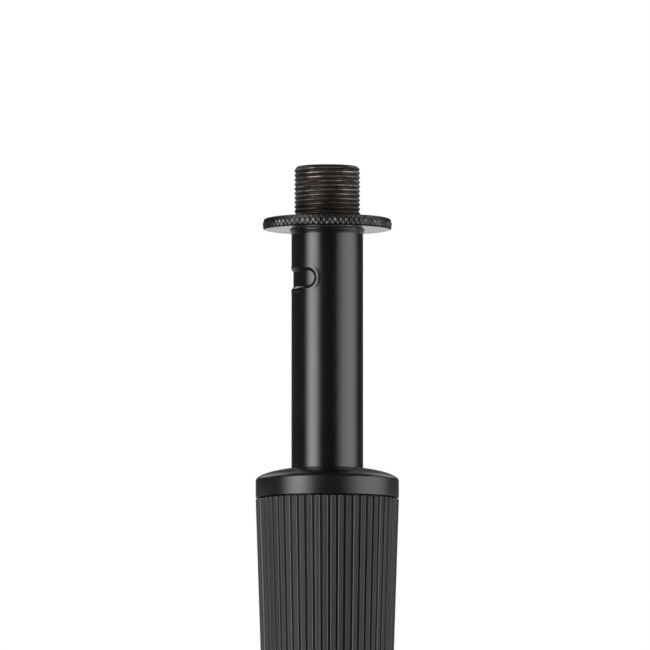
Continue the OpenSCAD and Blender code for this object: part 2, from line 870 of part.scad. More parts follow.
lower_tube();
lower_tube_plug();
hub();
hub_screw();
hub_rivet(1);  // hub_rivet_1
hub_rivet(2);  // hub_rivet_2
hub_rivet(3);  // hub_rivet_3
clutch_body();
collet();
thrust_washer();
grip_core();
grip_sleeve();
grip_cap();
tube_guide();
upper_tube();
tube_end_plug();
thread_stud();
lock_ring();
strut(1);  // strut_1
strut(2);  // strut_2
strut(3);  // strut_3
strut_rivet(1);  // strut_rivet_1
strut_rivet(2);  // strut_rivet_2
strut_rivet(3);  // strut_rivet_3
leg_tube(1);  // leg_tube_1
leg_tube(2);  // leg_tube_2
leg_tube(3);  // leg_tube_3
leg_head(1);  // leg_head_1
leg_head(2);  // leg_head_2
leg_head(3);  // leg_head_3
foot(1);  // foot_1
foot(2);  // foot_2
foot(3);  // foot_3
collar();
collar_rivet(1);  // collar_rivet_1
collar_rivet(2);  // collar_rivet_2
collar_rivet(3);  // collar_rivet_3
clamp_nut();
brake_shoe();
clamp_screw();
clamp_knob();
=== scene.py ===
# %% [markdown]
# A folding microphone stand, dressed for its picture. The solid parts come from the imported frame:
# they already have the right sizes and places. This lesson gives them the shapes and finishes
# that the eye looks for: the cut thread, the knurl, the ribs, the paint.

# %% Load the frame
import json
import math

import bpy
from mathutils import Matrix, Vector


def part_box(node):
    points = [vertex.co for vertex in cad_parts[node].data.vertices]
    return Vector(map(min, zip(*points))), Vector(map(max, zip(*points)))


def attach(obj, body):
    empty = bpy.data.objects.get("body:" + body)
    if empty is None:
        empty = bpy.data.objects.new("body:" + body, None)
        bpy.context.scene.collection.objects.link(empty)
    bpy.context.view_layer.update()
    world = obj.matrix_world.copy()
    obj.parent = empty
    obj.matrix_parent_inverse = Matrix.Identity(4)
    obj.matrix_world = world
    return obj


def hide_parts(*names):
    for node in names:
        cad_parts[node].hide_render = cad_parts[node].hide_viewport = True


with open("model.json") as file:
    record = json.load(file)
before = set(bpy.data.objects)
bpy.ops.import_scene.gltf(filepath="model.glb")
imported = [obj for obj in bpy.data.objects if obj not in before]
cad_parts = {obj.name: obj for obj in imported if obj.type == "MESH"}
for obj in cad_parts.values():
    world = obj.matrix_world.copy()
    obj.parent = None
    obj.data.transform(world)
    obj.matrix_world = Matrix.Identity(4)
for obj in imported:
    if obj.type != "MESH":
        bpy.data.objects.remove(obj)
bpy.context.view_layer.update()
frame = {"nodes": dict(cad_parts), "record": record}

# %% [markdown]
# The picture was taken from far away and from a little below the top of the stand, so the ring
# shows its underside and the edges hardly converge. A long lens gives that: the camera stands
# 3.5 m off, and its lens is the one that puts 4.15 pixels on each millimetre of the stand.

# %% Camera
MM = 0.001            # the solids are designed in millimetres, and Blender counts in metres
PICTURE = 650         # pixels across
SENSOR = 36           # mm across
PIXELS_PER_MM = 4.15
camera_distance = 3500
camera_rise = math.radians(-4.25)
aim = Vector((-0.55, 0, 905.4)) * MM

camera_data = bpy.data.cameras.new("picture_camera")
camera_data.sensor_width = SENSOR
camera_data.lens = PIXELS_PER_MM * camera_distance * SENSOR / PICTURE
camera_data.clip_start, camera_data.clip_end = 0.05, 400
camera = bpy.data.objects.new("picture_camera", camera_data)
bpy.context.scene.collection.objects.link(camera)
backwards_and_up = Vector((0, -math.cos(camera_rise), math.sin(camera_rise)))
camera.location = aim + camera_distance * MM * backwards_and_up
camera.rotation_euler = (aim - camera.location).to_track_quat("-Z", "Y").to_euler()
bpy.context.scene.camera = camera
print("lens", round(camera_data.lens, 1), "mm, camera at", [round(c, 4) for c in camera.location])

# %% [markdown]
# A node tree is built by one small function: it adds a node, sets its values, and links what
# it is given. A socket that gets another node's output is linked; any other value is written in.
# Colours are written as on a screen, in sRGB, and turned to the linear light that shaders need.

# %% Colours and nodes
def linear(hex_colour):
    """A colour as on a screen, such as #808080, in the linear light of the shaders."""
    parts = [int(hex_colour[i:i + 2], 16) / 255 for i in (1, 3, 5)]
    return tuple(c / 12.92 if c <= 0.04045 else ((c + 0.055) / 1.055) ** 2.4 for c in parts) + (1,)


def add(tree, kind, settings={}, **inputs):
    """Adds a node. An input is given by its name, with _ for a space, or as _0 by its number."""
    node = tree.nodes.new(kind)
    for name, value in settings.items():
        setattr(node, name, value)
    for name, value in inputs.items():
        key = int(name[1:]) if name[0] == "_" else name.replace("_", " ")
        if isinstance(value, bpy.types.NodeSocket):
            tree.links.new(value, node.inputs[key])
        else:
            node.inputs[key].default_value = value
    return node


print("mid grey #808080 is", round(linear("#808080")[0], 3), "in linear light")

# %% [markdown]
# The background is plain white and the room in front of the stand is dark, as in a studio
# where only the sheet behind the object is lit. Black satin paint shows both: its middle stays
# black, and its edges turn pale where they mirror the sheet. So the world is white for the
# camera, half as bright for mirrored rays that go backwards, and dim for everything else.

# %% World
SHEET_IN_MIRROR, ROOM = 0.5, 0.07
BESIDE_SHEET, FULL_SHEET = 0.92, 0.995      # cosines of 23 and 6 degrees off straight back
world = bpy.data.worlds.new("studio")
bpy.context.scene.world = world
world.use_nodes = True
tree = world.node_tree
tree.nodes.clear()
direction = add(tree, "ShaderNodeTexCoord").outputs["Generated"]
backwards = add(tree, "ShaderNodeSeparateXYZ", Vector=direction).outputs["Y"]
sheet_behind = add(tree, "ShaderNodeMapRange", {"interpolation_type": "SMOOTHSTEP"},
                   Value=backwards, From_Min=BESIDE_SHEET, From_Max=FULL_SHEET)
ray = add(tree, "ShaderNodeLightPath")
mirrored = add(tree, "ShaderNodeMath", {"operation": "MAXIMUM"},
               _0=ray.outputs["Is Glossy Ray"], _1=ray.outputs["Is Transmission Ray"])
sheet_seen = add(tree, "ShaderNodeMath", {"operation": "MULTIPLY"},
                 _0=mirrored.outputs[0], _1=sheet_behind.outputs[0])
glow = add(tree, "ShaderNodeMapRange", Value=sheet_seen.outputs[0],
           To_Min=ROOM, To_Max=SHEET_IN_MIRROR)
strength = add(tree, "ShaderNodeMath", {"operation": "MAXIMUM"},
               _0=ray.outputs["Is Camera Ray"], _1=glow.outputs[0])
sheet = add(tree, "ShaderNodeBackground", Color=(1, 1, 1, 1), Strength=strength.outputs[0])
add(tree, "ShaderNodeOutputWorld", Surface=sheet.outputs[0])
print("world: white behind, dim in front")

# %% [markdown]
# Two tall soft boxes stand in front, left and right. On a polished cylinder a box shows at half
# its angle, so their places were read from the bright bands on the tube: the left box is
# brighter and the right one broader. Each box is brightest in its middle and fades to its sides,
# as cloth in front of a lamp does. Parametric gives the place on the panel, from 0 to 1 across.
# A weak box above and two behind light the crown of the grip and the floor. Sizes are in metres.

# %% Soft boxes
TOP_OF_STAND = 0.9    # m


def soft_box(name, azimuth, height, distance, width, tall, radiance):
    """A lamp panel that looks at the stand. Azimuth 0 is the camera's side, right is positive."""
    data = bpy.data.lights.new(name, "AREA")
    data.shape = "RECTANGLE"
    data.size, data.size_y = width, tall
    data.energy = radiance * math.pi * width * tall
    data.use_nodes = True
    tree = data.node_tree
    tree.nodes.clear()
    panel = add(tree, "ShaderNodeNewGeometry").outputs["Parametric"]
    across = add(tree, "ShaderNodeSeparateXYZ", Vector=panel).outputs["X"]
    fade = add(tree, "ShaderNodeMath", {"operation": "PINGPONG"}, _0=across, _1=0.5)
    cloth = add(tree, "ShaderNodeMapRange", {"interpolation_type": "SMOOTHSTEP"},
                Value=fade.outputs[0], From_Min=0, From_Max=0.45)
    lamp = add(tree, "ShaderNodeEmission", Strength=cloth.outputs[0])
    add(tree, "ShaderNodeOutputLight", Surface=lamp.outputs[0])
    box = bpy.data.objects.new(name, data)
    bpy.context.scene.collection.objects.link(box)
    turn = math.radians(azimuth)
    box.location = (distance * math.sin(turn), -distance * math.cos(turn), height)
    target = Vector((0, 0, min(height, TOP_OF_STAND)))
    box.rotation_euler = (target - box.location).to_track_quat("-Z", "Y").to_euler()
    box.visible_camera = False


soft_box("left_box", azimuth=-48.5, height=1.1, distance=2.2, width=2.45, tall=2.9, radiance=6.8)
soft_box("right_box", azimuth=71, height=1.0, distance=2.2, width=4.6, tall=2.5, radiance=3.3)
soft_box("top_box", azimuth=180, height=3.4, distance=1.0, width=2.0, tall=1.6, radiance=0.6)
for name, azimuth in (("back_left_box", -146), ("back_right_box", 146)):
    soft_box(name, azimuth, height=2.8, distance=2.6, width=2.4, tall=1.6, radiance=2.0)

# %% [markdown]
# The pieces stand on one axis, so a radius and two levels place each of them. They are read from
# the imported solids, in millimetres, and the new shapes are drawn on them. A box tells only the
# widest radius of a solid, so those of the tube's wall and of the thread are written out.

# %% Sizes from the frame
def reach(node):
    """Radius from the mast's axis, lowest level and highest level of a node, in millimetres."""
    low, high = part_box(node)
    return high.x / MM, low.z / MM, high.z / MM


ring_r, ring_bottom, ring_top = reach("lock_ring")
cap_r, cap_bottom, crown_top = reach("grip_cap")
_, sleeve_bottom, sleeve_top = reach("grip_sleeve")
_, stud_bottom, stud_top = reach("thread_stud")
_, tube_bottom, tube_top = reach("upper_tube")
tube_r, bore_r = 8.65, 7.65      # outside and inside of the upper tube
flange_r, flange_top = tube_r + 0.4, tube_top + 1.15
thread_r = 7.9375                # half of 5/8 inch
print("ring", round(ring_r, 3), round(ring_top, 3), "cap", round(cap_r, 3),
      "tube top", round(tube_top, 3), "stud top", round(stud_top, 3))

# %% [markdown]
# Every finish starts as an empty tree and ends in one Principled shader, which fits paint, rubber,
# plastic and metal alike. What differs is drawn by the nodes between the two.

# %% Start and end of a material
def new_material(name):
    """An empty material and its node tree."""
    material = bpy.data.materials.new(name)
    material.use_nodes = True
    material.node_tree.nodes.clear()
    return material, material.node_tree


def finish_material(tree, **sockets):
    """The last two nodes: the shader with its sockets, and the output."""
    shader = add(tree, "ShaderNodeBsdfPrincipled", **sockets)
    add(tree, "ShaderNodeOutputMaterial", Surface=shader.outputs[0])


print("material tools ready: new_material, finish_material")

# %% [markdown]
# Black satin paint on the tubes is a baked coating: an almost black body under a smooth film
# that mirrors about a twenty-fifth of the light. Its surface is never quite flat: a faint
# orange peel, two or three waves to a millimetre, softens the mirrored boxes. Paint and lacquer
# also round every edge: the Bevel node bends the normal there, so an edge catches a thin light.
#
# The other blacks are drawn the same way, with their own numbers. Lacquer on a zinc casting is
# duller and its peel is coarser, because the casting's skin shows through, and its edges are
# rounder. The cap comes from a spark-eroded mould, which gives it a fine, even, eggshell skin.
# Nylon with glass fibres in it is the dullest and a little greyer, because the fibres near its
# surface break up the gloss.

# %% Satin blacks
PEEL_DEPTH = 0.006    # mm from crest to hollow


def satin_black(name, body, rough, peel_mm, edge_mm):
    """A black with a satin skin. Rough holds its lowest and its highest roughness."""
    material, tree = new_material(name)
    place = add(tree, "ShaderNodeTexCoord").outputs["Object"]
    peel = add(tree, "ShaderNodeTexNoise", Vector=place, Scale=1 / (peel_mm * MM), Detail=2.0)
    dust = add(tree, "ShaderNodeTexNoise", Vector=place, Scale=1 / (9 * MM), Detail=4.0)
    roughness = add(tree, "ShaderNodeMapRange", Value=dust.outputs[0],
                    From_Min=0.3, From_Max=0.7, To_Min=rough[0], To_Max=rough[1])
    edges = add(tree, "ShaderNodeBevel", {"samples": 4}, Radius=edge_mm * MM)
    bump = add(tree, "ShaderNodeBump", Height=peel.outputs[0], Strength=1.0,
               Distance=PEEL_DEPTH * MM, Normal=edges.outputs[0])
    finish_material(tree, Base_Color=linear(body), IOR=1.5, Roughness=roughness.outputs[0],
                    Normal=bump.outputs[0])
    return material


powder_coat = satin_black("satin_black_powder_coat_on_steel", "#070709",
                          rough=(0.20, 0.26), peel_mm=0.5, edge_mm=0.1)
lacquered_casting = satin_black("satin_black_lacquer_on_zinc_casting", "#0A0A0C",
                                rough=(0.34, 0.42), peel_mm=0.8, edge_mm=0.6)
moulded_cap = satin_black("eroded_black_abs_moulding", "#070709",
                          rough=(0.28, 0.34), peel_mm=0.35, edge_mm=0.1)
moulded_nylon = satin_black("glass_filled_black_nylon", "#0E0E10",
                            rough=(0.42, 0.52), peel_mm=0.3, edge_mm=0.6)
blacks = (powder_coat, lacquered_casting, moulded_cap, moulded_nylon)
print("black finishes", [material.name for material in blacks])

# %% [markdown]
# Wear and dirt follow the shape, so two small helpers measure it: how far out from the axis a
# point lies, and whether it lies in one of the streaks that run round the piece.

# %% Helpers for wear
def radius_share(tree, place, low, high):
    """How far out a point lies, from 0 at the low radius to 1 at the high one, in millimetres."""
    flat = add(tree, "ShaderNodeVectorMath", {"operation": "MULTIPLY"}, _0=place, _1=(1, 1, 0))
    out = add(tree, "ShaderNodeVectorMath", {"operation": "LENGTH"}, _0=flat.outputs[0])
    return add(tree, "ShaderNodeMapRange", Value=out.outputs["Value"],
               From_Min=low * MM, From_Max=high * MM).outputs[0]


def streaks(tree, place, across_mm, up_mm, low, high):
    """Patches of their own size across and upwards, from 0 beside them to 1 on them."""
    stretched = add(tree, "ShaderNodeMapping", Vector=place,
                    Scale=(1 / (across_mm * MM), 1 / (across_mm * MM), 1 / (up_mm * MM)))
    noise = add(tree, "ShaderNodeTexNoise", Vector=stretched.outputs[0], Scale=1.0,
                Detail=3.0, Roughness=0.6)
    return add(tree, "ShaderNodeMapRange", Value=noise.outputs[0],
               From_Min=low, From_Max=high).outputs[0]


print("wear tools ready: radius_share, streaks")

# %% [markdown]
# The feet are moulded rubber, dull and nearly black. A faint pale bloom lies on the rubber in
# soft patches, and its fine grain comes from the mould.

# %% Moulded rubber
def rubber_skin(name, body, bloom):
    """Starts a rubber: gives the material, its tree, the place, the colour and the fine bump."""
    material, tree = new_material(name)
    place = add(tree, "ShaderNodeTexCoord").outputs["Object"]
    patches = add(tree, "ShaderNodeTexNoise", Vector=place, Scale=1 / (6 * MM), Detail=5.0)
    grain = add(tree, "ShaderNodeTexNoise", Vector=place, Scale=1 / (0.25 * MM), Detail=2.0)
    speckle = add(tree, "ShaderNodeMath", {"operation": "MULTIPLY"},
                  _0=patches.outputs[0], _1=grain.outputs[0])
    share = add(tree, "ShaderNodeMapRange", Value=speckle.outputs[0], From_Min=0.15, From_Max=0.4)
    colour = add(tree, "ShaderNodeMix", {"data_type": "RGBA"}, _0=share.outputs[0],
                 _6=linear(body), _7=linear(bloom))
    bump = add(tree, "ShaderNodeBump", Height=grain.outputs[0], Strength=1.0, Distance=0.004 * MM)
    return material, tree, place, colour.outputs[2], bump.outputs[0]


foot_rubber, tree, place, colour, bump = rubber_skin("moulded_black_rubber", "#161618", "#202022")
finish_material(tree, Base_Color=colour, IOR=1.52, Roughness=0.7, Normal=bump)
print("feet", foot_rubber.name)

# %% [markdown]
# The grip's sleeve is moulded with upright ribs, whose upper ends are half round. Its finish has
# to know where on a rib a point lies, and an image would blur. So the nodes count it out: the
# angle round the axis, in ribs, and the height over the start of a rib's round end together say
# how far a point is from the rib's middle. The sleeve's foot has a plain border without ribs.

# %% Places on the ribs
RIBS = 56             # round the sleeve
RIB_TURN = 0.25       # a rib's middle lies this many pitches from the X axis
RIB_SHARE = 0.66      # a rib's width in pitches; the rest is groove
BORDER = 1.4          # mm of plain border at the foot
rib_pitch = 2 * math.pi * cap_r / RIBS
rib_top = sleeve_top - 0.12      # just under the sleeve's edge
arch_start = rib_top - RIB_SHARE / 2 * rib_pitch

grip_rubber, tree, place, colour, bump = rubber_skin("moulded_grey_rubber_with_rubbed_ribs",
                                                     "#1A1A1E", "#232220")
split = add(tree, "ShaderNodeSeparateXYZ", Vector=place)
angle = add(tree, "ShaderNodeMath", {"operation": "ARCTAN2"},
            _0=split.outputs["Y"], _1=split.outputs["X"])
in_ribs = add(tree, "ShaderNodeMath", {"operation": "MULTIPLY_ADD"}, _0=angle.outputs[0],
              _1=RIBS / (2 * math.pi), _2=RIB_TURN)
beside = add(tree, "ShaderNodeMath", {"operation": "PINGPONG"}, _0=in_ribs.outputs[0], _1=0.5)
above = add(tree, "ShaderNodeMapRange", Value=split.outputs["Z"], From_Min=arch_start * MM,
            From_Max=(arch_start + rib_pitch) * MM)
around = add(tree, "ShaderNodeCombineXYZ", X=beside.outputs[0], Y=above.outputs[0])
off_rib = add(tree, "ShaderNodeVectorMath", {"operation": "LENGTH"}, _0=around.outputs[0])
ribbed = add(tree, "ShaderNodeMapRange", Value=split.outputs["Z"],
             From_Min=(sleeve_bottom + BORDER) * MM, From_Max=(sleeve_bottom + BORDER + 0.2) * MM)
print(RIBS, "ribs, one in", round(rib_pitch, 3), "mm")

# %% [markdown]
# The sleeve is the same rubber as the feet, a little greyer. The corners of its ribs are painted
# paler and made smoother than the flats: a painted highlight where the corners catch the lamps,
# with some wear from hands in it. The grooves are painted near black, as painted shade. Each
# corner has a number, and white noise of that number says how pale it is painted, so neighbouring
# ribs differ.

# %% Painted highlights on rib corners and painted shade in grooves
# The rubbed line is a painted highlight along each rib's corner, with some wear in it.
CORNER_IN, CORNER_HALF = 0.035, 0.03    # the rubbed line's place and half its width, in pitches
corner = add(tree, "ShaderNodeMath", {"operation": "COMPARE"}, _0=off_rib.outputs["Value"],
             _1=RIB_SHARE / 2 - CORNER_IN, _2=CORNER_HALF)
on_ribs = add(tree, "ShaderNodeMath", {"operation": "MULTIPLY"},
              _0=corner.outputs[0], _1=ribbed.outputs[0])
in_corners = add(tree, "ShaderNodeMath", {"operation": "MULTIPLY"},
                 _0=in_ribs.outputs[0], _1=2.0)
corner_number = add(tree, "ShaderNodeMath", {"operation": "FLOOR"}, _0=in_corners.outputs[0])
chance = add(tree, "ShaderNodeTexWhiteNoise", {"noise_dimensions": "1D"},
             W=corner_number.outputs[0])
use = add(tree, "ShaderNodeMapRange", Value=chance.outputs["Value"], To_Min=0.1, To_Max=1.0)
# Painted highlight: the rib corners get a paler colour, partly standing for wear.
rubbed = add(tree, "ShaderNodeMath", {"operation": "MULTIPLY"},
             _0=on_ribs.outputs[0], _1=use.outputs[0])
worn_and_highlit_corners = add(tree, "ShaderNodeMix", {"data_type": "RGBA"}, _0=rubbed.outputs[0],
           _6=colour, _7=linear("#707073"))
# Painted shade: the grooves are painted near black.
in_groove = add(tree, "ShaderNodeMapRange", Value=off_rib.outputs["Value"],
                From_Min=RIB_SHARE / 2 - 0.01, From_Max=RIB_SHARE / 2 + 0.05)
painted_groove_shade = add(tree, "ShaderNodeMath", {"operation": "MULTIPLY"},
            _0=in_groove.outputs[0], _1=ribbed.outputs[0])
groove_shaded_colour = add(tree, "ShaderNodeMix", {"data_type": "RGBA"}, _0=painted_groove_shade.outputs[0],
            _6=worn_and_highlit_corners.outputs[2], _7=linear("#08080A"))
shine = add(tree, "ShaderNodeMapRange", Value=rubbed.outputs[0], To_Min=0.75, To_Max=0.45)
finish_material(tree, Base_Color=groove_shaded_colour.outputs[2], IOR=1.52, Roughness=shine.outputs[0],
                Normal=bump)
print("sleeve", grip_rubber.name)

# %% [markdown]
# The stud's thread is bare steel that has gone dark brown: oil and dirt fill the roots, and the
# crests are rubbed bright where clips were screwed on, in broken streaks along the thread. So the
# distance from the axis says how worn a point is, and stretched noise breaks the wear up. Towards
# the ring the thread is painted darker: the lowest turns get less of the rubbed and the wiped
# colour.

# %% Worn thread steel
worn_steel, tree = new_material("worn_bare_steel_thread")
place = add(tree, "ShaderNodeTexCoord").outputs["Object"]
level = add(tree, "ShaderNodeSeparateXYZ", Vector=place).outputs["Z"]
# The lowest turns, next to the ring, are painted darker.
lighter_upwards = add(tree, "ShaderNodeMapRange", {"interpolation_type": "SMOOTHSTEP"}, Value=level,
           From_Min=(ring_top - 0.65) * MM, From_Max=(stud_top - 4.2) * MM, To_Min=0.1, To_Max=1.0)
crest = radius_share(tree, place, thread_r - 0.16, thread_r)
scraped = streaks(tree, place, across_mm=4.0, up_mm=0.8, low=0.38, high=0.60)
scraped_crest = add(tree, "ShaderNodeMath", {"operation": "MULTIPLY"}, _0=crest, _1=scraped)
rubbed = add(tree, "ShaderNodeMath", {"operation": "MULTIPLY"},
             _0=scraped_crest.outputs[0], _1=lighter_upwards.outputs[0])
oily = streaks(tree, place, across_mm=3.0, up_mm=2.0, low=0.35, high=0.65)
wiped = add(tree, "ShaderNodeMath", {"operation": "MULTIPLY"}, _0=oily, _1=lighter_upwards.outputs[0])
dirt = add(tree, "ShaderNodeMix", {"data_type": "RGBA"}, _0=wiped.outputs[0],
           _6=linear("#1F1B19"), _7=linear("#3C342E"))
steel = add(tree, "ShaderNodeMix", {"data_type": "RGBA"}, _0=rubbed.outputs[0],
            _6=dirt.outputs[2], _7=linear("#928A84"))
shine = add(tree, "ShaderNodeMapRange", Value=rubbed.outputs[0], To_Min=0.52, To_Max=0.26)
pits = add(tree, "ShaderNodeTexNoise", Vector=place, Scale=1 / (0.3 * MM), Detail=3.0)
bump = add(tree, "ShaderNodeBump", Height=pits.outputs[0], Strength=1.0, Distance=0.008 * MM)
finish_material(tree, Base_Color=steel.outputs[2], Metallic=0.9, Roughness=shine.outputs[0],
                Normal=bump.outputs[0])
print("stud", worn_steel.name)

# %% [markdown]
# The lock ring is turned steel that was blackened. The knurl's tips are rubbed paler than its
# grooves, and the flat underside is bare and pale, because it rubs on the flange below it.

# %% Blackened knurled steel
knurled_steel, tree = new_material("blackened_knurled_steel")
place = add(tree, "ShaderNodeTexCoord").outputs["Object"]
tips = radius_share(tree, place, ring_r - 0.28, ring_r)
handled = streaks(tree, place, across_mm=3.0, up_mm=3.0, low=0.40, high=0.62)
rubbed = add(tree, "ShaderNodeMath", {"operation": "MULTIPLY"}, _0=tips, _1=handled)
rim = add(tree, "ShaderNodeMix", {"data_type": "RGBA"}, _0=rubbed.outputs[0],
          _6=linear("#2B2A2A"), _7=linear("#77746F"))
normal = add(tree, "ShaderNodeNewGeometry").outputs["Normal"]
facing = add(tree, "ShaderNodeSeparateXYZ", Vector=normal)
under = add(tree, "ShaderNodeMapRange", Value=facing.outputs["Z"], From_Min=-0.9, From_Max=-0.99)
steel = add(tree, "ShaderNodeMix", {"data_type": "RGBA"}, _0=under.outputs[0],
            _6=rim.outputs[2], _7=linear("#DAD8D6"))
rough = add(tree, "ShaderNodeMapRange", Value=under.outputs[0], To_Min=0.34, To_Max=0.12)
turning = add(tree, "ShaderNodeTexNoise", Vector=place, Scale=1 / (0.5 * MM), Detail=3.0)
bump = add(tree, "ShaderNodeBump", Height=turning.outputs[0], Strength=1.0, Distance=0.003 * MM)
finish_material(tree, Base_Color=steel.outputs[2], Metallic=0.95, Roughness=rough.outputs[0],
                Normal=bump.outputs[0])
print("ring", knurled_steel.name)

# %% [markdown]
# Rivets, screws and the nut are zinc plated. Zinc is bright but not polished: a faint blotchy
# haze of a few millimetres lies on it. Bush, collet and brake shoe are natural nylon, which is
# milky: some light enters and comes out again, which subsurface gives.

# %% Zinc plate and natural nylon
plated_steel, tree = new_material("zinc_plated_steel")
place = add(tree, "ShaderNodeTexCoord").outputs["Object"]
haze = add(tree, "ShaderNodeTexNoise", Vector=place, Scale=1 / (2.5 * MM), Detail=4.0)
rough = add(tree, "ShaderNodeMapRange", Value=haze.outputs[0], From_Min=0.35, From_Max=0.65,
            To_Min=0.24, To_Max=0.38)
zinc = add(tree, "ShaderNodeMix", {"data_type": "RGBA"}, _0=haze.outputs[0],
           _6=linear("#A9ABAE"), _7=linear("#C4C5C6"))
finish_material(tree, Base_Color=zinc.outputs[2], Metallic=1.0, Roughness=rough.outputs[0])

natural_nylon, tree = new_material("natural_nylon")
place = add(tree, "ShaderNodeTexCoord").outputs["Object"]
grain = add(tree, "ShaderNodeTexNoise", Vector=place, Scale=1 / (0.4 * MM), Detail=2.0)
bump = add(tree, "ShaderNodeBump", Height=grain.outputs[0], Strength=1.0, Distance=0.004 * MM)
tint = add(tree, "ShaderNodeMix", {"data_type": "RGBA"}, _0=grain.outputs[0],
           _6=linear("#CFCBBB"), _7=linear("#DAD6C8"))
finish_material(tree, Base_Color=tint.outputs[2], IOR=1.53, Roughness=0.42, Normal=bump.outputs[0],
                Subsurface_Weight=0.3, Subsurface_Scale=1.5 * MM)
print("bright finishes", plated_steel.name, natural_nylon.name)

# %% [markdown]
# Turned pieces are drawn as half an outline and spun round the axis, as a lathe does it. The
# outline is a list of radius and height, and a third number rounds that corner. A real corner is
# never sharp, and even a tenth of a millimetre catches a line of light.

# %% Outlines with rounded corners
def rounded(outline, closed, arc_steps=5):
    """The outline with its rounded corners drawn as short arcs."""
    points, count = [], len(outline)
    for i, corner in enumerate(outline):
        here = Vector(corner[:2])
        radius = corner[2] if len(corner) > 2 else 0
        if not radius or (not closed and i in (0, count - 1)):
            points.append(here)
            continue
        before = (Vector(outline[i - 1][:2]) - here).normalized()
        after = (Vector(outline[(i + 1) % count][:2]) - here).normalized()
        half = before.angle(after) / 2
        centre = here + (before + after).normalized() * radius / math.sin(half)
        start = here + before * radius / math.tan(half) - centre
        end = here + after * radius / math.tan(half) - centre
        sweep = start.angle_signed(end)
        for k in range(arc_steps + 1):
            points.append(centre + Matrix.Rotation(-sweep * k / arc_steps, 2) @ start)
    return points


print("a square with one round corner has",
      len(rounded([(0, 0), (9, 0), (9, 9, 1), (0, 9)], closed=True)), "points")

# %% [markdown]
# The lathe itself works in edit mode. The first point of an outline is a plane merged to its
# middle, each further point is extruded from the one before, and Spin turns the line round the
# axis. Then what lies in one place is joined, and the faces are turned outwards.

# %% The lathe
SAME_PLACE = 0.0005 * MM      # points closer than this are one point


def draw_line(name, points):
    """A new piece in edit mode: a line through points (x, y, z) in millimetres."""
    bpy.ops.object.select_all(action="DESELECT")
    bpy.ops.mesh.primitive_plane_add(size=MM)
    piece = bpy.context.object
    piece.name = piece.data.name = name
    bpy.ops.object.mode_set(mode="EDIT")
    bpy.ops.mesh.merge(type="CENTER")
    bpy.ops.transform.translate(value=Vector(points[0]) * MM)
    for before, after in zip(points, points[1:]):
        step = (Vector(after) - Vector(before)) * MM
        bpy.ops.mesh.extrude_region_move(TRANSFORM_OT_translate={"value": step})
    return piece


def turned(name, outline, steps=128, closed=True):
    """A piece turned from an outline of (radius, height, corner radius)."""
    points = [(point.x, 0, point.y) for point in rounded(outline, closed)]
    piece = draw_line(name, points + points[:1] if closed else points)
    bpy.ops.mesh.select_all(action="SELECT")
    bpy.ops.mesh.spin(steps=steps, angle=2 * math.pi, center=(0, 0, 0), axis=(0, 0, 1))
    seal()
    return piece


def seal():
    """Joins what lies in one place, turns the faces outwards and leaves edit mode."""
    bpy.ops.mesh.select_all(action="SELECT")
    bpy.ops.mesh.remove_doubles(threshold=SAME_PLACE)
    bpy.ops.mesh.normals_make_consistent(inside=False)
    bpy.ops.object.mode_set(mode="OBJECT")


print("lathe ready: draw_line, turned, seal")

# %% [markdown]
# A drawn piece is finished with modifiers, which are applied at once so that its mesh is final.

# %% Finishing a piece
def choose(piece):
    """Makes one piece the selected and active one."""
    bpy.ops.object.select_all(action="DESELECT")
    piece.select_set(True)
    bpy.context.view_layer.objects.active = piece


def apply(piece, kind, **settings):
    """Adds a modifier, sets it and applies it."""
    choose(piece)
    modifier = piece.modifiers.new(kind.lower(), kind)
    for name, value in settings.items():
        setattr(modifier, name, value)
    bpy.ops.object.modifier_apply(modifier=modifier.name)


def dress(piece, body, slot, material, *nodes, smooth_below=35):
    """Last steps for a finished piece: shading, finish, and what it stands for."""
    choose(piece)
    bpy.ops.object.shade_smooth_by_angle(angle=math.radians(smooth_below))
    piece.data.materials.clear()
    piece.data.materials.append(material)
    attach(piece, body)
    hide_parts(*nodes)
    print(piece.name, len(piece.data.polygons), "faces")


print("finishing tools ready: choose, apply, dress")

# %% [markdown]
# The stud is a turned steel part: a spigot pressed in the tube, a flange with rounded edges that
# rests on the tube's end, and the screw thread above. The flange is painted with the tube, so it
# is a piece of its own with that finish.

# %% Stud flange
neck_r, neck_top = 7.0, ring_bottom + 0.6
flange = turned("stud_flange", [
    (0, stud_bottom), (bore_r, stud_bottom, 0.5), (bore_r, tube_top), (tube_r, tube_top),
    (tube_r + 0.06, tube_top + 0.3), (flange_r - 0.06, flange_top - 0.3),
    (flange_r, flange_top, 0.08), (neck_r, flange_top),
    (neck_r, neck_top), (0, neck_top)], closed=False)
dress(flange, "upper_mast", "black_powder_coat", powder_coat, "thread_stud")

# %% [markdown]
# A thread is one groove that climbs. The Screw modifier makes it from the section of a single
# turn: the section is as high as the pitch, and each turn ends where the next one starts. The
# real thread is rolled, so crest and root are round, as on a wave. It is made a little too long
# at both ends, and Bisect cuts the climbing ends level.

# %% Stud thread
pitch, thread_depth, thread_steps = 1.085, 0.30, 96
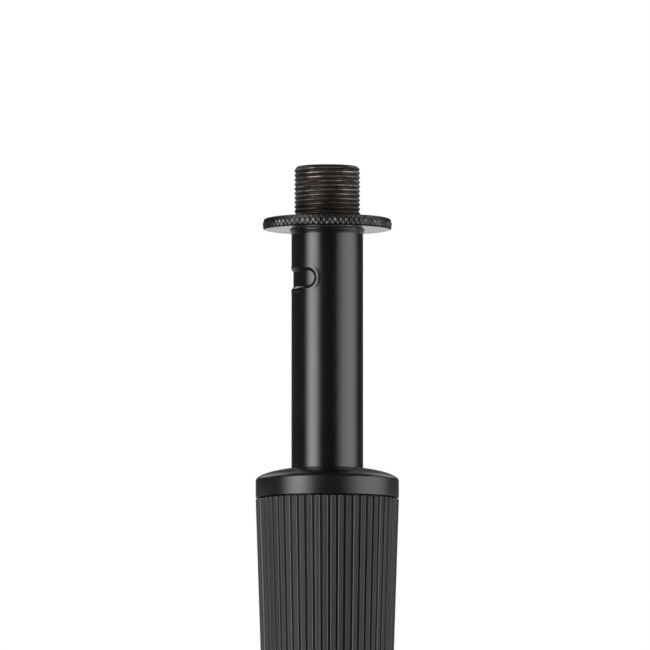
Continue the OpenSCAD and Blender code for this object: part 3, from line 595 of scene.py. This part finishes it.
# share of the pitch, and how high over the root there
section = [(0, 0), (0.10, 0.03), (0.20, 0.22), (0.36, 0.80), (0.44, 0.97), (0.5, 1),
           (0.56, 0.97), (0.64, 0.80), (0.80, 0.22), (0.90, 0.03), (1, 0)]
thread_start = ring_bottom + 0.5
turns = math.ceil((stud_top - thread_start) / pitch) + 2
thread = draw_line("stud_thread", [
    (thread_r - thread_depth * (1 - share), 0, thread_start + pitch * (along - 1.3))
    for along, share in section])
bpy.ops.object.mode_set(mode="OBJECT")
apply(thread, "SCREW", axis="Z", angle=2 * math.pi, screw_offset=pitch * MM, iterations=turns,
      steps=thread_steps, render_steps=thread_steps, use_smooth_shade=True)
bpy.ops.object.mode_set(mode="EDIT")
bpy.ops.mesh.select_all(action="SELECT")
bpy.ops.mesh.remove_doubles(threshold=SAME_PLACE)
for level, below in ((thread_start, True), (stud_top + 0.5, False)):
    bpy.ops.mesh.select_all(action="SELECT")
    bpy.ops.mesh.bisect(plane_co=(0, 0, level * MM), plane_no=(0, 0, 1), use_fill=True,
                        clear_inner=below, clear_outer=not below)
seal()
print("thread of", turns, "turns, cut from", round(thread_start, 2), "up")

# %% [markdown]
# The stud's end is chamfered so that a nut can start. A blank is turned with that chamfer, and a
# Boolean keeps what the thread and the blank share. The blank is then thrown away.

# %% Chamfered end of the thread
blank = turned("blank", [
    (0, thread_start + 0.1), (thread_r + 1, thread_start + 0.1), (thread_r + 1, stud_top - 1.75),
    (thread_r - 0.75, stud_top, 0.35), (0, stud_top)], steps=thread_steps, closed=False)
apply(thread, "BOOLEAN", operation="INTERSECT", object=blank, solver="EXACT")
bpy.data.objects.remove(blank)
dress(thread, "upper_mast", "dark_steel", worn_steel, "thread_stud", smooth_below=50)

# %% [markdown]
# Knurl, panel and ribs are all pressed or moulded into a plain turned shape, so one tool makes
# all three. A vertex group says how much each point is pressed, from 0 to 1, and a Displace
# modifier moves the points inwards along their normals.

# %% Pressing a pattern in
def press(piece, name, depth, share_at):
    """Presses a piece in by depth times the share that a point, in millimetres, gets."""
    group = piece.vertex_groups.new(name=name)
    for vertex in piece.data.vertices:
        share = share_at(vertex.co / MM)
        if share:
            group.add([vertex.index], share, "REPLACE")
    apply(piece, "DISPLACE", vertex_group=name, strength=-depth * MM, mid_level=0)
    piece.vertex_groups.clear()


def soft_step(t):
    """From 0 to 1 while t goes from 0 to 1, with a soft start and end."""
    t = min(max(t, 0), 1)
    return t * t * (3 - 2 * t)


print("press ready: half way in, a soft step is", soft_step(0.5))

# %% [markdown]
# The lock ring is turned from steel, and its rim is knurled: two rolls with slanted grooves press
# a pattern of small pyramids into it. The rim is turned with a grid that has four columns to a
# pyramid, and each point's place between the grooves says how deep it is pressed.

# %% Knurled lock ring
diamonds, diamond_height, knurl_depth = 78, 2.17, 0.24
rim_rows, rim_bulge = 9, 0.13
rim_low, rim_high = ring_bottom + 0.34, ring_top - 0.7


def rim_point(k):
    """Row k of the rim, which bulges a little in its middle."""
    share = k / rim_rows
    level = rim_low + (rim_high - rim_low) * share
    return (ring_r - rim_bulge * (2 * share - 1) ** 2, level)


ring = turned("lock_ring_knurled", [
    (thread_r + 0.02, ring_bottom), (ring_r - 0.8, ring_bottom),
    (ring_r - 0.5, ring_bottom + 0.05), (ring_r - 0.26, ring_bottom + 0.16),
    *(rim_point(k) for k in range(rim_rows + 1)),
    (ring_r - 0.3, ring_top - 0.35), (ring_r - 0.65, ring_top - 0.12), (ring_r - 1.2, ring_top),
    (thread_r + 0.5, ring_top), (thread_r + 0.02, ring_top - 0.4)], steps=4 * diamonds)


def knurl_share(point):
    """Share of the knurl's depth at a point: 1 in a groove, 0 on a pyramid's tip."""
    if math.hypot(point.x, point.y) < ring_r - 0.3:
        return 0
    round_it = math.atan2(point.y, point.x) / (2 * math.pi) * diamonds
    up_it = (point.z - rim_low) / diamond_height
    grooves = [abs(2 * ((round_it + slant * up_it) % 1) - 1) for slant in (1, -1)]
    return max(grooves)


press(ring, "knurl", knurl_depth, knurl_share)
dress(ring, "top_ring", "knurled_steel", knurled_steel, "lock_ring", smooth_below=20)

# %% [markdown]
# The upper tube is drawn steel tube. Near its foot a small bead is rolled outwards, right above
# the bush, which it keeps in place, and near its top a shallow panel is pressed into its left
# side. It is turned with a fine grid at the panel's level only, and the rest stays light.

# %% Upper tube
panel_level = tube_top - 10.85
grid_high, grid_rows = 8, 44
panel_rows = [panel_level - grid_high / 2 + grid_high * k / grid_rows
              for k in range(grid_rows + 1)]
bead, bead_level = 0.2, tube_bottom + 20.5
tube = turned("upper_tube_pressed", [
    (bore_r, tube_bottom), (tube_r, tube_bottom, 0.2), (tube_r, bead_level),
    (tube_r + bead, bead_level + 0.1), (tube_r + bead, bead_level + 0.9),
    (tube_r, bead_level + 1.0),
    *((tube_r, z) for z in panel_rows),
    (tube_r, tube_top), (bore_r, tube_top)], steps=288)
print("tube", round(tube_top - tube_bottom, 1), "mm long")

# %% [markdown]
# The press leaves no sharp line: the panel's border is a short slope all round, and the metal
# that it pushed aside stands up as a faint lip outside. The panel is a level line with round
# ends, so how far inside its border a point lies is told by its distance from that line.

# %% Panel pressed into the tube
panel_half, panel_depth, slope = 2.5, 0.45, 0.75      # half its height, its depth, its border
panel_right, panel_span = math.radians(-107.3), math.radians(144.2)
lip_out, lip_half, lip_height = 0.35, 0.75, 0.05      # off the border, half its width, its height


def panel_inside(point):
    """How far inside the panel's border a point lies, in millimetres."""
    left_of_end = (panel_right - math.atan2(point.y, point.x)) % (2 * math.pi)
    if left_of_end > math.pi + 0.6:      # nearer to the right end, so it lies beyond that one
        left_of_end -= 2 * math.pi
    along = tube_r * left_of_end
    length = tube_r * panel_span
    beyond = max(panel_half - along, along - (length - panel_half), 0)
    return panel_half - math.hypot(beyond, point.z - panel_level)


def outer_wall(point):
    """Whether a point is on the tube's outside and not in its bore."""
    return math.hypot(point.x, point.y) > tube_r - 0.3


def panel_share(point):
    """1 on the panel's floor and 0 outside its border."""
    return outer_wall(point) * soft_step(panel_inside(point) / slope)


def lip_share(point):
    """1 on the crest of the lip round the panel and 0 beside it."""
    return outer_wall(point) * soft_step(1 - abs(panel_inside(point) + lip_out) / lip_half)


press(tube, "panel", panel_depth, panel_share)
press(tube, "lip", -lip_height, lip_share)
dress(tube, "upper_mast", "black_powder_coat", powder_coat, "upper_tube")

# %% [markdown]
# The grip's cap is a smooth moulding: a short band, then a crown that curves over quickly at the
# rim and runs nearly flat to the tube. The crown is a flattened arch, drawn point by point.

# %% Grip cap
crown_rise, crown_power, pass_r, arch_steps = 3.0, 0.52, 8.95, 16
band_top = crown_top - crown_rise


def crown_share(radius):
    """How high a flattened arch over the whole cap would be at a radius, from 0 to 1."""
    return (1 - (radius / cap_r) ** 2) ** crown_power


cap_outline = [(pass_r, cap_bottom), (cap_r, cap_bottom, 0.15), (cap_r, band_top, 0.1)]
for k in range(arch_steps):
    radius = pass_r + (cap_r - pass_r) * math.cos(math.pi / 2 * (k + 1) / arch_steps)
    cap_outline.append((radius, band_top + crown_rise * crown_share(radius) / crown_share(pass_r)))
cap = turned("grip_cap_turned", cap_outline, steps=160)
dress(cap, "grip", "black_plastic", moulded_cap, "grip_cap", smooth_below=25)

# %% [markdown]
# The sleeve is one rubber moulding that tapers downwards. It is turned with twenty-two columns of
# faces to a rib, and what lies between the ribs is pressed in, so the whole sleeve stays one
# closed skin. The ribs are the ones that its finish counts, so the painted highlight lines lie on
# them.

# %% Ribbed sleeve
columns, wall_share, groove_depth = 22, 0.08, 0.5      # wall: the slope beside a rib, in pitches
skin, taper = 1.5, 0.033                               # taper: of the radius, for each mm


def sleeve_r(level):
    """The sleeve's radius at a level."""
    return cap_r - taper * (cap_bottom - level)


def groove_share(point):
    """0 on a rib and 1 in the groove beside it and over its round upper end."""
    if math.hypot(point.x, point.y) < sleeve_r(point.z) - 0.3 or point.z < sleeve_bottom + BORDER:
        return 0
    phase = (math.atan2(point.y, point.x) / (2 * math.pi) * RIBS + RIB_TURN + 0.5) % 1 - 0.5
    half = RIB_SHARE / 2 * rib_pitch
    above = max(point.z - arch_start, 0)
    outside = math.hypot(phase * rib_pitch, above) - half
    return soft_step(outside / (wall_share * rib_pitch) + 0.5)


foot_r, top_r = sleeve_r(sleeve_bottom), sleeve_r(sleeve_top)
rows = [sleeve_bottom + BORDER + 0.2, sleeve_bottom + 20, sleeve_bottom + 40,
        *(sleeve_top - 1.2 + 0.1 * k for k in range(12))]      # close where the ribs end
sleeve = turned("grip_sleeve_ribbed", [
    (foot_r - skin, sleeve_bottom), (foot_r, sleeve_bottom, 0.25),
    (foot_r, sleeve_bottom + BORDER - 0.05), *((sleeve_r(z), z) for z in rows),
    (top_r, sleeve_top), (top_r - skin, sleeve_top)],
    steps=RIBS * columns)
press(sleeve, "grooves", groove_depth, groove_share)
dress(sleeve, "grip", "grip_rubber", grip_rubber, "grip_sleeve", smooth_below=50)

# %% [markdown]
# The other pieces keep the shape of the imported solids, and only get their finish: painted tube,
# lacquered casting, bare or plated steel, rubber, black and natural nylon. The record names a
# slot for each piece, and one table says which finish belongs to which slot.

# %% Carried-over pieces get their finish
finish_of = {
    "black_powder_coat": powder_coat, "black_die_cast": lacquered_casting,
    "dark_steel": worn_steel, "knurled_steel": knurled_steel, "bright_steel": plated_steel,
    "grip_rubber": grip_rubber, "foot_rubber": foot_rubber,
    "black_plastic": moulded_nylon, "natural_nylon": natural_nylon,
}
for subpart in frame["record"]["subparts"]:
    node = frame["nodes"][subpart["node"]]
    for slot in node.material_slots:
        slot.material = finish_of[subpart["material_slot"]]
print(len(frame["nodes"]), "nodes finished")

# %% [markdown]
# The stand is on a plain pale floor that takes its shadow. Far from the stand the floor turns
# into the white sheet, so no horizon is seen, and mirrored rays that go backwards see the sheet
# there too. Mirrored rays that go down near the stand see a grey floor, because in the studio
# the floor gets far less light than the sheet.

# %% Floor
PALE_TO, WHITE_FROM = 700, 2100      # mm from the stand
FLOOR_SIZE, FLOOR_DROP = 400, 0.0005    # m, so that the feet stand just clear of it
bpy.ops.object.select_all(action="DESELECT")
bpy.ops.mesh.primitive_plane_add(size=FLOOR_SIZE, location=(0, 0, -FLOOR_DROP))
floor = bpy.context.object
floor.name = "floor"
floor_material, tree = new_material("pale_studio_floor")
place = add(tree, "ShaderNodeTexCoord").outputs["Object"]
fade = radius_share(tree, place, PALE_TO, WHITE_FROM)
backwards = add(tree, "ShaderNodeSeparateXYZ", Vector=place).outputs["Y"]
behind = add(tree, "ShaderNodeMapRange", Value=backwards, From_Min=0, From_Max=3)
ray = add(tree, "ShaderNodeLightPath")
goes_back = add(tree, "ShaderNodeMath", {"operation": "MULTIPLY"},
                _0=ray.outputs["Is Glossy Ray"], _1=behind.outputs[0])
in_mirror = add(tree, "ShaderNodeMath", {"operation": "MULTIPLY"},
                _0=goes_back.outputs[0], _1=SHEET_IN_MIRROR)
seen = add(tree, "ShaderNodeMath", {"operation": "MAXIMUM"},
           _0=ray.outputs["Is Camera Ray"], _1=in_mirror.outputs[0])
turned_white = add(tree, "ShaderNodeMath", {"operation": "MULTIPLY"}, _0=fade, _1=seen.outputs[0])
pale = add(tree, "ShaderNodeMix", {"data_type": "RGBA"}, _0=ray.outputs["Is Glossy Ray"],
           _6=linear("#ECECEC"), _7=linear("#585858"))
painted = add(tree, "ShaderNodeBsdfPrincipled", Base_Color=pale.outputs[2], Roughness=0.7)
sheet = add(tree, "ShaderNodeEmission", Color=(1, 1, 1, 1), Strength=1.0)
mixed = add(tree, "ShaderNodeMixShader", _0=turned_white.outputs[0],
            _1=painted.outputs[0], _2=sheet.outputs[0])
add(tree, "ShaderNodeOutputMaterial", Surface=mixed.outputs[0])
floor.data.materials.append(floor_material)
print("floor", floor.name, "turns white between", PALE_TO, "and", WHITE_FROM, "mm")

# %% [markdown]
# The picture's colours are shown with the Standard view transform.

bpy.context.scene.view_settings.view_transform = "Standard"
